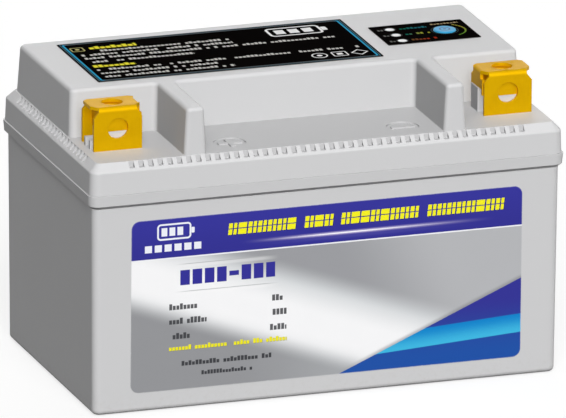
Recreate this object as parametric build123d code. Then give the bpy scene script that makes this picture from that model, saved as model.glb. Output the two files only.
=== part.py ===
from build123d import *
import math
import os

# Sealed lithium motorcycle battery, powersports case size.
# Frame: +Z up, origin at the centre of the footprint on the base, X along the case.
# The terminals are at the front, towards -Y: negative at +X, positive at -X. Millimetres.

CUT = 1.0               # how far a cutting tool overshoots the material

# ---- case: each level of the outline is the overall size less a shrink
CASE_L, CASE_W, CASE_H = 150.0, 87.0, 93.0
BASE_SHRINK = 3.7       # container at the base
BODY_SHRINK = 2.7       # container just under the collar
LIP_SHRINK = 0.5        # collar lip
JOINT_SHRINK = 0.9      # lid band at the joint
BAND_SHRINK = 1.3       # lid band at the chamfer
SHELF_SHRINK = 6.0      # lid shelf
BODY_R = 2.4            # vertical corner radius of the container
BASE_R = 1.5            # base edge radius
WALL = 2.5              # wall of the lid's raised block
FLOOR = 2.5
Z_COLLAR, Z_LIP = 64.7, 65.7    # start and end of the collar's under-chamfer
Z_RIM = 69.0            # joint between container and lid
CAVITY_L, CAVITY_W, CAVITY_R = CASE_L - 7.8, CASE_W - 7.8, 1.6

# ---- lid levels
Z_BAND, Z_SHELF, Z_TOP = 76.0, 78.5, CASE_H
Z_CEILING = Z_TOP - WALL
SHELF_L, SHELF_W = CASE_L - SHELF_SHRINK, CASE_W - SHELF_SHRINK
LID_R, SHELF_R = 3.0, 1.6

# ---- rim joint: tongue of the lid in a glued groove of the container
TONGUE_IN, TONGUE_W, TONGUE_H = 1.15, 1.1, 1.7
GROOVE_W, GROOVE_H = 1.9, 2.5
GROOVE_IN = TONGUE_IN - (GROOVE_W - TONGUE_W) / 2
GLUE_GAP = 0.02

# ---- terminals: sizes of the negative one, the positive one is its mirror image
TERM_X = 61.6
TERM_FRONT, TERM_REAR, TERM_TOP = -28.8, -16.8, 91.8
TERM_Y = (TERM_FRONT + TERM_REAR) / 2
SHEET_T = 1.0           # sheet thickness
FLAP_W = 15.1           # width of the front and rear flaps
TANG_W = 8.0
TANG_Y = TERM_REAR - SHEET_T / 2
LUG_Z = 69.0            # screw through tang and ring lug
LUG_HOLE_R = 2.15
POST_Z = 84.1           # top of the support post, seat of the nut

# ---- cells
CELL_R, CELL_H = 13.0, 65.0
CELL_PITCH = 26.8
CELL_Z0 = 5.5
CELL_Z1 = CELL_Z0 + CELL_H
OUTER_X, INNER_X = 1.5 * CELL_PITCH, 0.5 * CELL_PITCH   # cell columns
ROW_Y = 0.5 * CELL_PITCH
CELLS = [(x, y) for y in (-ROW_Y, ROW_Y) for x in (-OUTER_X, -INNER_X, INNER_X, OUTER_X)]

# ---- boards
PCB_T = 1.6
BMS_Z = 75.0
BMS_TOP = BMS_Z + PCB_T
STANDOFFS = [(x, y) for y in (0.0, 24.5) for x in (-CELL_PITCH, CELL_PITCH)]
IND_X, IND_Y, IND_Z = 49.2, 13.5, 83.0      # charge indicator board
IND_TOP = IND_Z + PCB_T
IND_BOSSES = [(48.3, IND_Y + 6.9), (48.3, IND_Y - 6.9)]
LED_X, LED_ROWS = 40.45, (19.0, 13.0, 7.0)
WINDOW_R = 1.55
BUTTON_X, BUTTON_Y = 56.1, IND_Y
BUTTON_HOLE_R = 3.53
LABEL_T = 0.15

os.makedirs("parts", exist_ok=True)


# ================================================================ helpers
def box(x_min, x_max, y_min, y_max, z_min, z_max):
    centre = Pos((x_min + x_max) / 2, (y_min + y_max) / 2, (z_min + z_max) / 2)
    return centre * Box(x_max - x_min, y_max - y_min, z_max - z_min)


def slab(x, y, size_x, size_y, z_min, z_max):
    """A box centred on (x, y)."""
    return Pos(x, y, (z_min + z_max) / 2) * Box(size_x, size_y, z_max - z_min)


def rounded(size_x, size_y, radius, z, x=0.0, y=0.0):
    return Plane.XY.offset(z) * Pos(x, y) * RectangleRounded(size_x, size_y, radius)


def prism(size_x, size_y, radius, z_min, z_max, x=0.0, y=0.0):
    return extrude(rounded(size_x, size_y, radius, z_min, x, y), amount=z_max - z_min)


def outline(shrink, radius, z):
    """The case outline, its overall size less a shrink."""
    return rounded(CASE_L - shrink, CASE_W - shrink, radius, z)


def taper(low, high):
    return loft([low, high], ruled=True)


def cyl(radius, x, y, z_min, z_max):
    return Pos(x, y, (z_min + z_max) / 2) * Cylinder(radius, z_max - z_min)


def cyl_y(radius, x, z, y_min, y_max):
    return Pos(x, (y_min + y_max) / 2, z) * Rot(90, 0, 0) * Cylinder(radius, y_max - y_min)


def mirror_x(shape):
    return mirror(shape, about=Plane.YZ)


def ring(inset, width, z_min, z_max):
    """A ring that follows the rim, starting a distance inset outside the cavity."""
    size_x, size_y = CAVITY_L + 2 * inset, CAVITY_W + 2 * inset
    radius = CAVITY_R + inset - 0.4
    outer = prism(size_x + 2 * width, size_y + 2 * width, radius + width, z_min, z_max)
    return outer - prism(size_x, size_y, max(0.6, radius), z_min - CUT, z_max + CUT)


def rounded_path(points, radius):
    """A polyline with rounded corners, as one wire."""
    corners = [Vector(*point) for point in points]
    edges = []
    start = corners[0]
    for before, corner, after in zip(corners, corners[1:], corners[2:]):
        back, ahead = (before - corner).normalized(), (after - corner).normalized()
        half_angle = math.acos(max(-1, min(1, back.dot(ahead)))) / 2
        setback = radius / math.tan(half_angle)
        arc_start, arc_end = corner + back * setback, corner + ahead * setback
        bisector = (back + ahead).normalized()
        arc_mid = corner + bisector * (radius / math.sin(half_angle)) - bisector * radius
        if (arc_start - start).length > 1e-4:
            edges.append(Edge.make_line(start, arc_start))
        edges.append(Edge.make_three_point_arc(arc_start, arc_mid, arc_end))
        start = arc_end
    edges.append(Edge.make_line(start, corners[-1]))
    return Wire(edges)


def tube(points, bend, radius):
    heading = (Vector(*points[1]) - Vector(*points[0])).normalized()
    section = Plane(origin=points[0], z_dir=heading) * Circle(radius)
    return sweep(section, path=rounded_path(points, bend))


def put(name, *shapes):
    """Write one node, as plain solids."""
    solids = [solid for shape in shapes for solid in shape.solids()]
    node = solids[0] if len(solids) == 1 else Compound(children=solids)
    node.label = name
    export_step(node, f"parts/{name}.step")


def put_pair(name, shape):
    put(f"{name}_negative", shape)
    put(f"{name}_positive", mirror_x(shape))


# ================================================================ container
def body_shell(grow=0.0):
    """The tapered container wall up to the collar, grown on every side."""
    return taper(outline(BASE_SHRINK - 2 * grow, BODY_R, 0),
                 outline(BODY_SHRINK - 2 * grow, BODY_R, Z_COLLAR))


body = body_shell()
body = fillet(body.edges().group_by(Axis.Z)[0], BASE_R)
lip = outline(LIP_SHRINK, LID_R, Z_LIP)
container = body + taper(outline(BODY_SHRINK, BODY_R, Z_COLLAR), lip)
container = container + taper(lip, outline(0, LID_R, Z_RIM))
container = container - prism(CAVITY_L, CAVITY_W, CAVITY_R, FLOOR, Z_RIM + CUT)
container = container - ring(GROOVE_IN, GROOVE_W, Z_RIM - GROOVE_H, Z_RIM + CUT)
put("container", container)

# ================================================================ lid
# raised block at its base and top: half length, front wall y, rear wall y
BLOCK_BASE, BLOCK_TOP = (71.5, -13.1, 40.0), (70.7, -11.2, 39.2)
BLOCK_R, BLOCK_CAVITY_R = 2.0, 1.0
# stiffening rib at its base and top: inner face x, outer face x, front face y
RIB_BASE, RIB_TOP = (37.4, 44.5, -40.3), (38.2, 43.7, -40.0)
RIB_REAR = -2.0         # inside the block
RIB_R = 1.4
RIB_FILLET = 1.6        # inner corner between rib and block
TOP_R = 1.3             # rounding of the top edges
BAND_R = 0.7            # rounding between band and chamfer
RIB_CORE_W, RIB_CORE_WALL, RIB_CORE_REAR = 2.7, 2.4, -5.0
NOTCH_PITCH, NOTCH_W, NOTCH_Z = 3.0, 1.6, 76.7  # grip notches in the chamfer, their floor
NOTCH_COUNT_X, NOTCH_COUNT_Y = 42, 22
NOTCH_IN, NOTCH_OUT = 0.05, 6.0                 # reach of a notch, outside the shelf edge
MARK_X, MARK_Y, MARK_R, MARK_D = 27.3, -31.4, 4.9, 0.45     # polarity marks
MARK_BAR_L, MARK_BAR_W = 7.4, 1.6
SEAT_Z = Z_SHELF - 0.5                          # seats start inside the shelf
POST_X0, POST_X1, POST_FRONT, POST_REAR = 53.6, 66.0, -24.0, -18.0
SEAT_CLR = 0.1                                  # around flap and tang
BOSS_R, BOSS_HOLE_R, BOSS_HOLE_D = 2.3, 0.95, 4.6


def block_outline(walls, inset, radius, z):
    half_length, front, rear = walls
    return rounded(2 * (half_length - inset), rear - front - 2 * inset, radius, z,
                   0, (front + rear) / 2)


def rib_outline(side, faces, z):
    inner, outer, front = faces
    return rounded(outer - inner, RIB_REAR - front, RIB_R, z,
                   side * (inner + outer) / 2, (front + RIB_REAR) / 2)


def rib(side):
    return taper(rib_outline(side, RIB_BASE, Z_SHELF), rib_outline(side, RIB_TOP, Z_TOP))


def lid_outside():
    crown = taper(block_outline(BLOCK_BASE, 0, BLOCK_R, Z_SHELF),
                  block_outline(BLOCK_TOP, 0, BLOCK_R, Z_TOP))
    crown = crown + rib(-1) + rib(1)
    # soft inner corners where the ribs meet the block
    inner = [e for e in crown.edges()
             if e.length > 10 and abs(e.center().Z - (Z_SHELF + Z_TOP) / 2) < 1
             and 36 < abs(e.center().X) < 46 and -14 < e.center().Y < -10]
    crown = fillet(inner, RIB_FILLET)
    crown = fillet(crown.faces().sort_by(Axis.Z)[-1].edges(), TOP_R)
    band = outline(BAND_SHRINK, LID_R, Z_BAND)
    skirt = taper(outline(JOINT_SHRINK, LID_R, Z_RIM), band)
    lid = skirt + taper(band, outline(SHELF_SHRINK, SHELF_R, Z_SHELF)) + crown
    # guards the rounding of the band edge: if it fails, the edge stays crisp
    try:
        band_edges = [e for e in lid.edges()
                      if abs(e.center().Z - Z_BAND) < 0.01 and e.length > 2]
        lid = fillet(band_edges, BAND_R)
    except Exception:
        pass
    return lid


def hollow(lid):
    block_cavity = taper(block_outline(BLOCK_BASE, WALL, BLOCK_CAVITY_R, Z_BAND - 0.5),
                         block_outline(BLOCK_TOP, WALL, BLOCK_CAVITY_R, Z_CEILING))
    rib_x = (RIB_BASE[0] + RIB_BASE[1]) / 2
    rib_core = box(rib_x - RIB_CORE_W / 2, rib_x + RIB_CORE_W / 2,
                   RIB_BASE[2] + RIB_CORE_WALL, RIB_CORE_REAR,
                   Z_BAND - CUT, Z_TOP - RIB_CORE_WALL)
    lid = lid - prism(CAVITY_L, CAVITY_W, CAVITY_R, Z_RIM - CUT, Z_BAND)
    return lid - block_cavity - rib_core - mirror_x(rib_core)


def grip_notches():
    """Notches along the chamfer, with an upright inner face and a level floor."""
    def row(count):
        return [(i - (count - 1) / 2) * NOTCH_PITCH for i in range(count)]

    notches = []
    depth, middle = NOTCH_OUT - NOTCH_IN, (NOTCH_OUT + NOTCH_IN) / 2
    for side in (-1, 1):
        y = side * (SHELF_W / 2 + middle)
        notches += [slab(x, y, NOTCH_W, depth, NOTCH_Z, Z_SHELF + 2)
                    for x in row(NOTCH_COUNT_X)]
        x = side * (SHELF_L / 2 + middle)
        notches += [slab(x, y, depth, NOTCH_W, NOTCH_Z, Z_SHELF + 2)
                    for y in row(NOTCH_COUNT_Y)]
    return notches


def polarity_mark(side):
    """A round recess in the shelf with its sign left standing, plus at -X and minus at +X."""
    x, floor = side * MARK_X, Z_SHELF - MARK_D
    sign = slab(x, MARK_Y, MARK_BAR_L, MARK_BAR_W, floor - CUT, Z_SHELF)
    if side < 0:
        sign = sign + slab(x, MARK_Y, MARK_BAR_W, MARK_BAR_L, floor - CUT, Z_SHELF)
    return cyl(MARK_R, x, MARK_Y, floor, Z_SHELF + CUT) - sign


def add_terminal_seats(lid):
    """Support post and two low walls, pocket for the front flap, slot for the tang."""
    seat = box(POST_X0, POST_X1, POST_FRONT, POST_REAR, SEAT_Z, POST_Z)
    seat = seat + box(POST_X0, POST_X0 + 2.6, POST_FRONT, POST_REAR, SEAT_Z, 86.0)
    seat = seat + box(TERM_X - 5, TERM_X + 4.4, -27.6, POST_FRONT + 0.1, SEAT_Z, POST_Z)
    seat = seat + box(POST_X1 - 1, 69.5, -21.6, -20.4, SEAT_Z, Z_SHELF + 2.7)
    seat = seat + box(55.6, 69.5, -26.0, -24.8, SEAT_Z, Z_SHELF + 2.7)
    thickness = SHEET_T + 2 * SEAT_CLR
    pocket = slab(TERM_X, TERM_FRONT + SHEET_T / 2, FLAP_W + 2 * SEAT_CLR, thickness,
                  Z_SHELF - 0.8, Z_SHELF + 0.01)
    slot = slab(TERM_X, TANG_Y, TANG_W + 2 * SEAT_CLR, thickness,
                Z_BAND - CUT, Z_SHELF + 0.01)
    return lid + seat + mirror_x(seat) - pocket - slot - mirror_x(pocket) - mirror_x(slot)


def cut_openings(part, z_min):
    """Openings for the three light pipes and the test button."""
    for y in LED_ROWS:
        part = part - cyl(WINDOW_R, LED_X, y, z_min, Z_TOP + CUT)
    return part - cyl(BUTTON_HOLE_R, BUTTON_X, BUTTON_Y, z_min, Z_TOP + CUT)


lid = hollow(lid_outside())
lid = lid + ring(TONGUE_IN, TONGUE_W, Z_RIM - TONGUE_H, Z_RIM + 0.4)
lid = lid.cut(*grip_notches())
for side in (-1, 1):
    lid = lid - polarity_mark(side)
lid = add_terminal_seats(lid)
lid = cut_openings(lid, Z_CEILING - CUT)
for (x, y) in IND_BOSSES:
    lid = lid + cyl(BOSS_R, x, y, IND_TOP, Z_CEILING + 0.2)
    lid = lid - cyl(BOSS_HOLE_R, x, y, IND_TOP - CUT, IND_TOP + BOSS_HOLE_D)
put("lid", lid)

# adhesive bead that fills the groove around the tongue
bead = ring(GROOVE_IN + GLUE_GAP, GROOVE_W - 2 * GLUE_GAP,
            Z_RIM - GROOVE_H + GLUE_GAP, Z_RIM - 0.05)
bead = bead - ring(TONGUE_IN - GLUE_GAP, TONGUE_W + 2 * GLUE_GAP,
                   Z_RIM - TONGUE_H - GLUE_GAP, Z_RIM + CUT)
put("lid_seal", bead)

# ================================================================ labels
FRONT_LABEL_L, FRONT_LABEL_Z0, FRONT_LABEL_Z1, FRONT_LABEL_R = 123.4, 6.1, 59.9, 2.6
TOP_LABEL = (90.3, 40.6, -15.35, 13.7)          # size x, size y, centre x, centre y
INDICATOR_LABEL = (29.6, 19.6, 49.6, 13.3)

# the front label is cut from a skin over the tapered wall
stamp_face = Plane.XZ.offset(30) * Pos(0, (FRONT_LABEL_Z0 + FRONT_LABEL_Z1) / 2) \
    * RectangleRounded(FRONT_LABEL_L, FRONT_LABEL_Z1 - FRONT_LABEL_Z0, FRONT_LABEL_R)
skin = body_shell(LABEL_T) - body_shell()
put("front_label", skin & extrude(stamp_face, amount=30))


def flat_label(size_x, size_y, x, y):
    return prism(size_x, size_y, 0.4, Z_TOP, Z_TOP + LABEL_T, x, y)


put("top_label", flat_label(*TOP_LABEL))
put("indicator_label", cut_openings(flat_label(*INDICATOR_LABEL), Z_TOP - CUT))

# ================================================================ terminals
BEND_R = 1.5            # outer bend radius
NECK_W = 12.0           # width at the two bends
PLATE_W = 15.6          # width of the top plate
BOLT_HOLE_R, BOLT_HOLE_Z = 3.2, 85.2
TANG_Z = 65.6           # lower end of the tang
SIDE_FLAP_Z = 86.2
# plate corners: edge y, direction into the plate, start and end of the slanted cut
PLATE_CORNERS = ((TERM_FRONT, 1, 1.1, 3.3), (TERM_REAR, -1, 0.8, 2.4))
SIDE_Y = (TERM_FRONT + 3.3, TERM_REAR - 2.4)    # side flap, between the corner cuts


def folded_strip(x_min, x_max):
    """Front flap, top plate and rear flap, folded from one strip."""
    outer = box(x_min, x_max, TERM_FRONT, TERM_REAR, Z_SHELF - 0.7, TERM_TOP)
    outer = fillet(outer.edges().filter_by(Axis.X).group_by(Axis.Z)[-1], BEND_R)
    inner = box(x_min - CUT, x_max + CUT, TERM_FRONT + SHEET_T, TERM_REAR - SHEET_T,
                Z_SHELF - 2, TERM_TOP - SHEET_T)
    inner = fillet(inner.edges().filter_by(Axis.X).group_by(Axis.Z)[-1], BEND_R - SHEET_T)
    return outer - inner


def trim_side(term, side):
    """Narrow the flaps, slant their shoulders up to the bends and cut the plate corners."""
    neck, flap = TERM_X + side * NECK_W / 2, TERM_X + side * FLAP_W / 2
    plate = TERM_X + side * PLATE_W / 2
    beyond = flap + side * 3
    shoulder = make_face(Plane.XZ * Polyline(
        (neck, TERM_TOP + 1), (neck, TERM_TOP - 1.3), (flap, TERM_TOP - 3.2),
        (flap, 70), (beyond, 70), (beyond, TERM_TOP + 1), close=True))
    for direction, y in ((-1, TERM_FRONT + BEND_R - 0.3), (1, TERM_REAR - BEND_R + 0.3)):
        term = term - Pos(0, y, 0) * extrude(shoulder, amount=60, dir=(0, direction, 0))
    for edge_y, inward, first, last in PLATE_CORNERS:
        corner = make_face(Polyline(
            (neck, edge_y - inward), (neck, edge_y + inward * first),
            (plate, edge_y + inward * last), (plate + side, edge_y + inward * last),
            (plate + side, edge_y - inward), close=True))
        term = term - extrude(Plane.XY.offset(TERM_TOP - 1.4) * corner, amount=3)
    return term


def terminal():
    x_in, x_out = TERM_X - PLATE_W / 2, TERM_X + PLATE_W / 2
    x_sheet = x_in + SHEET_T
    term = folded_strip(x_in, x_out)
    for side in (-1, 1):
        term = trim_side(term, side)
    # the rear flap stands on the shelf, only its tang goes through
    term = term - box(x_in - CUT, x_out + CUT, TERM_REAR - SHEET_T - 0.5, TERM_REAR + 0.5,
                      Z_SHELF - CUT, Z_SHELF)
    term = term + slab(TERM_X, TANG_Y, TANG_W, SHEET_T, TANG_Z, Z_SHELF + 1)
    # side flap on the inner side, folded down from the top plate
    flap = box(x_in, x_sheet, *SIDE_Y, SIDE_FLAP_Z, TERM_TOP)
    flap = fillet(flap.edges().filter_by(Axis.Y).group_by(Axis.Z)[-1].sort_by(Axis.X)[0],
                  SHEET_T - 0.02)
    term = term - box(x_in - CUT, x_in + 1.2, *SIDE_Y, TERM_TOP - 2, TERM_TOP + CUT)
    term = term + flap + box(x_sheet - 0.2, x_sheet + 0.3, *SIDE_Y,
                             TERM_TOP - SHEET_T, TERM_TOP)
    # its wider lower part, with a short finger at the front
    flap_front = TERM_FRONT + SHEET_T + 0.25
    term = term + box(x_in, x_sheet, flap_front, TERM_REAR - SHEET_T - 0.25,
                      SIDE_FLAP_Z, 89.2)
    term = term + box(x_in, x_sheet, flap_front, flap_front + 1.05, 84.4, SIDE_FLAP_Z + 0.2)
    # holes: bolt from the top, bolt from the front, lead screw in the tang
    term = term - cyl(BOLT_HOLE_R, TERM_X, TERM_Y, TERM_TOP - 3, TERM_TOP + CUT)
    term = term - cyl_y(BOLT_HOLE_R, TERM_X, BOLT_HOLE_Z,
                        TERM_FRONT - CUT, TERM_FRONT + SHEET_T + 0.5)
    return term - cyl_y(LUG_HOLE_R, TERM_X, LUG_Z,
                        TERM_REAR - SHEET_T - CUT, TERM_REAR + CUT)


put_pair("terminal", terminal())

# captive square nut, kept from turning by the flaps
NUT_AF, NUT_H, NUT_HOLE_R = 9.8, 6.2, 2.5
nut = slab(TERM_X, TERM_Y, NUT_AF, NUT_AF, POST_Z, POST_Z + NUT_H)
nut = chamfer(nut.edges().filter_by(Axis.Z), 0.6)
nut = nut - cyl(NUT_HOLE_R, TERM_X, TERM_Y, POST_Z - CUT, POST_Z + NUT_H + CUT)
put_pair("terminal_nut", nut)

# rubber seal around the tang, under the shelf
SEAL_L, SEAL_RIM, SEAL_H, SEAL_CLR = 11.2, 3.0, 2.4, 0.05
seal = slab(TERM_X, TANG_Y, SEAL_L, SHEET_T + 2 * SEAL_RIM, Z_BAND - SEAL_H, Z_BAND)
seal = fillet(seal.edges().filter_by(Axis.Z), 1.2)
seal = seal - slab(TERM_X, TANG_Y, TANG_W + 2 * SEAL_CLR, SHEET_T + 2 * SEAL_CLR, 60, 90)
put_pair("terminal_seal", seal)

# ================================================================ cells
CAP_R, CAP_H = 4.5, 1.0
CAN_H = CELL_H - CAP_H
CAN_EDGE, GROOVE_D = 0.6, 0.9   # edge chamfer, depth of the shoulder groove
# can with a shoulder groove and a raised positive cap: radius, height
CELL_PROFILE = [
    (0, 0), (CELL_R - CAN_EDGE, 0), (CELL_R, CAN_EDGE),
    (CELL_R, CAN_H - 5.0), (CELL_R - GROOVE_D, CAN_H - 4.2),
    (CELL_R - GROOVE_D, CAN_H - 3.6), (CELL_R, CAN_H - 2.8),
    (CELL_R, CAN_H - CAN_EDGE), (CELL_R - CAN_EDGE, CAN_H),
    (CAP_R + 0.8, CAN_H), (CAP_R, CELL_H), (0, CELL_H),
]
cell_face = make_face(Plane.XZ * Polyline(*CELL_PROFILE, close=True))
cell_up = revolve(cell_face, axis=Axis.Z)
cell_down = Pos(0, 0, CELL_H) * (Rot(180, 0, 0) * cell_up)
for i, (x, y) in enumerate(CELLS):
    put(f"cell_{i + 1}", Pos(x, y, CELL_Z0) * (cell_down if i % 2 else cell_up))

# ================================================================ cell holders
HOLDER_L, HOLDER_W = 112.0, 58.6
LOWER_Z0, LOWER_Z1 = 3.8, 13.0
UPPER_Z0, UPPER_Z1 = 63.0, CELL_Z1 + 1.2
STRIP_REACH = 20.0      # strips reach this far from the middle of a group of four
RECESS = 2 * STRIP_REACH + 1            # recess for a series strip
TAB_END = HOLDER_W / 2 + 1
POSTS_R, POSTS_HOLE_R = 3.0, 1.2        # standoffs of the management board


def holder(z_min, z_max, bore_z, opening_z):
    """A plate with a bore for each cell and a narrower opening through its lip."""
    plate = prism(HOLDER_L, HOLDER_W, 3.0, z_min, z_max)
    for (x, y) in CELLS:
        plate = plate - cyl(CELL_R + 0.15, x, y, *bore_z)
        plate = plate - cyl(CELL_R - 3.0, x, y, *opening_z)
    return plate


lower = holder(LOWER_Z0, LOWER_Z1, (CELL_Z0, LOWER_Z1 + CUT), (LOWER_Z0 - CUT, CELL_Z0 + 0.1))
for x in (-CELL_PITCH, CELL_PITCH):
    lower = lower - slab(x, 0, RECESS, RECESS, LOWER_Z0 - CUT, CELL_Z0)
    lower = lower - box(x - 3.3, x + 3.3, STRIP_REACH, TAB_END, LOWER_Z0 - CUT, CELL_Z0 + 0.3)
put("cell_holder_lower", lower)

upper = holder(UPPER_Z0, UPPER_Z1, (UPPER_Z0 - CUT, CELL_Z1), (CELL_Z1 - 0.1, UPPER_Z1 + CUT))
recess_z = (CELL_Z1, UPPER_Z1 + CUT)
for x, width in ((0, RECESS), (-OUTER_X, 15.0), (OUTER_X, 15.0)):
    upper = upper - slab(x, 0, width, RECESS, *recess_z)
for x in (-OUTER_X, 0.0, OUTER_X):
    upper = upper - box(x - 2.8, x + 2.8, STRIP_REACH, TAB_END, *recess_z)
# ways out for the side tabs of the main strips
upper = upper - box(-HOLDER_L / 2 - CUT, -OUTER_X - 7, -6.0, 1.4, *recess_z)
upper = upper - box(OUTER_X + 7, 51.5, 9.5, 18.5, *recess_z)
for (x, y) in STANDOFFS:
    upper = upper + cyl(POSTS_R, x, y, UPPER_Z1 - 0.4, BMS_Z)
for (x, y) in STANDOFFS:
    upper = upper - cyl(POSTS_HOLE_R, x, y, UPPER_Z1 - 0.6, BMS_Z + CUT)
put("cell_holder_upper", upper)

# ================================================================ nickel strips
STRIP_T = 0.3
MAIN_W = 14.0                           # width of a main strip
SLIT_W, SLIT_L = 0.8, 9.0               # slit over each cell end
TAB_W = 4.8                             # rear tab for a balance wire
UPPER_TAB_Y, LOWER_TAB_Y = 31.0, 30.3   # rear ends of the tabs
STRIP_Z = (CELL_Z1, CELL_Z1 + STRIP_T)


def strip(x, width, slit_offsets, z, tab_end):
    plate = prism(width, 2 * STRIP_REACH, 2.0, z, z + STRIP_T, x, 0)
    for offset in slit_offsets:
        for y in (-ROW_Y, ROW_Y):
            plate = plate - slab(x + offset, y, SLIT_W, SLIT_L, z - CUT, z + CUT)
    return plate + box(x - TAB_W / 2, x + TAB_W / 2, STRIP_REACH - 1, tab_end,
                       z, z + STRIP_T)


def series_strip(x, z, tab_end):
    return strip(x, 2 * STRIP_REACH, (-INNER_X, INNER_X), z, tab_end)


put("series_strip_upper", series_strip(0, CELL_Z1, UPPER_TAB_Y))

main_positive = strip(-OUTER_X, MAIN_W, (0,), CELL_Z1, UPPER_TAB_Y)
main_positive = main_positive + box(-55.0, -OUTER_X - 6.5, -5.3, 0.7, *STRIP_Z)
put("main_strip_positive", main_positive)

# the negative side tab rises past the board edge and folds back over the board
riser_x, riser_y, tongue_z = 49.3, (10.0, 18.0), BMS_TOP + 0.05
main_negative = strip(OUTER_X, MAIN_W, (0,), CELL_Z1, UPPER_TAB_Y)
main_negative = main_negative + box(OUTER_X + 6.5, riser_x, *riser_y, *STRIP_Z)
main_negative = main_negative + box(riser_x - STRIP_T, riser_x, *riser_y,
                                    CELL_Z1, tongue_z + STRIP_T)
main_negative = main_negative + box(41.0, riser_x, *riser_y, tongue_z, tongue_z + STRIP_T)
put("main_strip_negative", main_negative)

# the tabs of the lower strips turn up behind the holder
lower_z = CELL_Z0 - STRIP_T
for i, x in ((1, -CELL_PITCH), (2, CELL_PITCH)):
    turned_up = box(x - TAB_W / 2, x + TAB_W / 2, LOWER_TAB_Y - STRIP_T, LOWER_TAB_Y,
                    lower_z, 13.0)
    put(f"series_strip_lower_{i}", series_strip(x, lower_z, LOWER_TAB_Y) + turned_up)

# insulating sheet between the strips and the board
sheet = box(-46.0, 46.0, -22.0, 19.4, UPPER_Z1, UPPER_Z1 + 0.25)
for (x, y) in STANDOFFS[:2]:
    sheet = sheet - cyl(POSTS_R + 0.2, x, y, UPPER_Z1 - CUT, UPPER_Z1 + CUT)
put("strip_insulator", sheet)

# ================================================================ foam packing
# name: size x, size y, corner radius, bottom z, top z, centre x, centre y
FOAM = {
    "base_pad": (136.0, 74.0, 4.0, FLOOR + 0.05, LOWER_Z0 - 0.05, 0, 0),
    "foam_right": (13.6, 72.0, 2.0, 4.2, 44.0, 63.6, 0),
    "foam_left": (13.6, 72.0, 2.0, 4.2, 44.0, -63.6, 0),
    "foam_front": (108.0, 9.0, 2.0, 4.2, 60.0, 0, -34.3),
    "foam_rear": (108.0, 4.6, 1.5, 14.5, 60.0, 0, 37.0),
}
for name, sizes in FOAM.items():
    put(name, prism(*sizes))

# ================================================================ battery management board
BMS_L, BMS_W, BMS_Y = 90.0, 36.0, 12.0
MOSFET_COLUMNS = (-35, -21, -7, 7, 21, 34)
PIN_PITCH = 1.1         # controller legs

bms = prism(BMS_L, BMS_W, 1.5, BMS_Z, BMS_TOP, 0, BMS_Y)
for (x, y) in STANDOFFS:
    bms = bms - cyl(1.35, x, y, BMS_Z - CUT, BMS_TOP + CUT)
put("bms_board", bms)


def mosfet(x):
    """Package with a wide tab behind it and two legs in front."""
    part = box(x - 3.3, x + 3.3, 9.5, 15.6, BMS_TOP, BMS_TOP + 2.3)
    part = part + box(x - 2.7, x + 2.7, 15.5, 18.6, BMS_TOP, BMS_TOP + 0.5)
    for leg_x in (x - 2.1, x + 2.1):
        part = part + box(leg_x - 0.4, leg_x + 0.4, 7.4, 9.6, BMS_TOP, BMS_TOP + 0.5)
    return part


put("bms_mosfets", *[mosfet(x) for x in MOSFET_COLUMNS])
put("bms_balance_resistors", *[slab(x, y, 6.3, 3.2, BMS_TOP, BMS_TOP + 0.6)
                               for y in (4.8, 26.0) for x in (-15, -5, 5, 15)])

controller = box(-4.9, 4.9, -3.0, 1.4, BMS_TOP + 0.1, BMS_TOP + 1.2)
for i in range(8):
    x = (i - 3.5) * PIN_PITCH
    for y in (-3.5, 1.9):
        controller = controller + slab(x, y, 0.4, 1.2, BMS_TOP, BMS_TOP + 0.4)
put("bms_controller", controller)

connector = slab(-37.5, 24.3, 13.8, 5.8, BMS_TOP, BMS_TOP + 7.0)
connector = connector - slab(-37.5, 24.3, 12.2, 4.2, BMS_TOP + 5.2, BMS_TOP + 8)
put("bms_connector", connector)


def bms_screw(x, y):
    """Round head with a cross slot, shank down into the standoff."""
    screw = cyl(2.3, x, y, BMS_TOP, BMS_TOP + 1.8)
    screw = fillet(screw.edges().group_by(Axis.Z)[-1], 0.7)
    for size_x, size_y in ((3.0, 0.6), (0.6, 3.0)):
        screw = screw - slab(x, y, size_x, size_y, BMS_TOP + 1.1, BMS_TOP + 3)
    return screw + cyl(1.13, x, y, BMS_Z - 2.9, BMS_TOP + 0.2)


put("bms_screws", *[bms_screw(x, y) for (x, y) in STANDOFFS])

# balance wires, from the connector down to the strip tabs behind the holder
# x at the connector, y of the lane, x of the tab, whether it goes to a lower strip
WIRES = (
    (-40.0, 33.0, -40.0, False),
    (-42.5, 31.0, -CELL_PITCH, True),
    (-37.5, 34.6, 0.0, False),
    (-35.0, 36.2, OUTER_X, False),
    (-32.5, 33.0, CELL_PITCH, True),
)
WIRE_R, WIRE_BEND = 0.65, 0.9
WIRE_TOP_Z, WIRE_RUN_Z = 79.5, 73.4     # leaving the connector, running along the case
WIRE_END_Y, WIRE_LOW_Z = 31.0, 9.0      # at the lower tabs


def balance_wire(start_x, lane, tab_x, is_low):
    points = [(start_x, 27.3, WIRE_TOP_Z), (start_x, lane, WIRE_TOP_Z)]
    if tab_x != start_x:
        points += [(start_x, lane, WIRE_RUN_Z), (tab_x, lane, WIRE_RUN_Z)]
    if is_low:
        if lane > WIRE_END_Y:
            points += [(tab_x, lane, WIRE_LOW_Z), (tab_x, WIRE_END_Y, WIRE_LOW_Z)]
        points += [(tab_x, WIRE_END_Y, WIRE_LOW_Z - 2.5)]
    else:
        points += [(tab_x, lane, 71.5), (tab_x, 29.4, 71.5)]
    return tube(points, WIRE_BEND, WIRE_R)


put("balance_wires", *[balance_wire(*wire) for wire in WIRES])

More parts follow.
